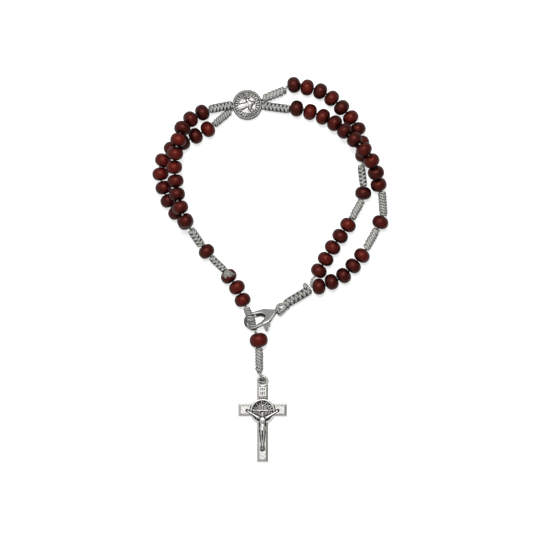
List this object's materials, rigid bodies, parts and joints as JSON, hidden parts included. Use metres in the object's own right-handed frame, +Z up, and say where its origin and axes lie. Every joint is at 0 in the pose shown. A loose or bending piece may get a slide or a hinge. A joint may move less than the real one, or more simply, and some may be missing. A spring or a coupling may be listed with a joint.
{
  "type": "rosary bracelet",
  "caption": "Beaded rosary bracelet of dark red wooden beads on knotted grey cord, with a round medal, a crucifix on a short drop and a lobster clasp, lying flat.",
  "frame": {"origin": "on the surface that the bracelet lies on, under the middle of its bounding box", "axes": "+Z up from the surface, +Y from the crucifix towards the medal, +X to the right as seen from above"},
  "size_m": [0.085, 0.1388, 0.0119],
  "materials": {
    "bead_wood": "satin stained wood",
    "cord": "twisted grey cord",
    "antique_silver": "antiqued silver plate"
  },
  "bodies": {
    "bracelet": {"beads_left_upper": "bead_wood", "beads_left_lower": "bead_wood", "beads_right_upper": "bead_wood", "beads_right_lower": "bead_wood", "beads_fold_out": "bead_wood", "beads_fold_back": "bead_wood", "bead_loop_upper": "bead_wood", "bead_loop_lower": "bead_wood", "bead_drop_first": "bead_wood", "bead_drop_two": "bead_wood", "bead_drop_three": "bead_wood", "bead_drop_four": "bead_wood", "bead_drop_last": "bead_wood", "knot_left_upper": "cord", "knot_left_lower": "cord", "knot_right_upper": "cord", "knot_right_lower": "cord", "knot_side_upper": "cord", "knot_side_middle": "cord", "knot_side_lower": "cord", "knot_side_outer": "cord", "knot_junction": "cord", "knot_slim": "cord", "knot_held": "cord", "knot_cross": "cord", "knot_clasp": "cord", "thread_loop": "cord", "thread_drop": "cord", "thread_drop_end": "cord", "clasp_cord": "cord", "cross_cord": "cord", "medal": "antique_silver", "crucifix": "antique_silver", "clasp_body": "antique_silver"},
    "lever": {"clasp_lever": "antique_silver"}
  },
  "joints": [
    {"name": "lever_hinge", "type": "hinge", "parent": "bracelet", "child": "lever", "pos_m": [-0.00083, -0.01753, 0.00291], "axis": [0.142, -0.4951, -0.8572], "range_deg": [0, 12], "stiffness_Nm_per_rad": 0.004}
  ]
}
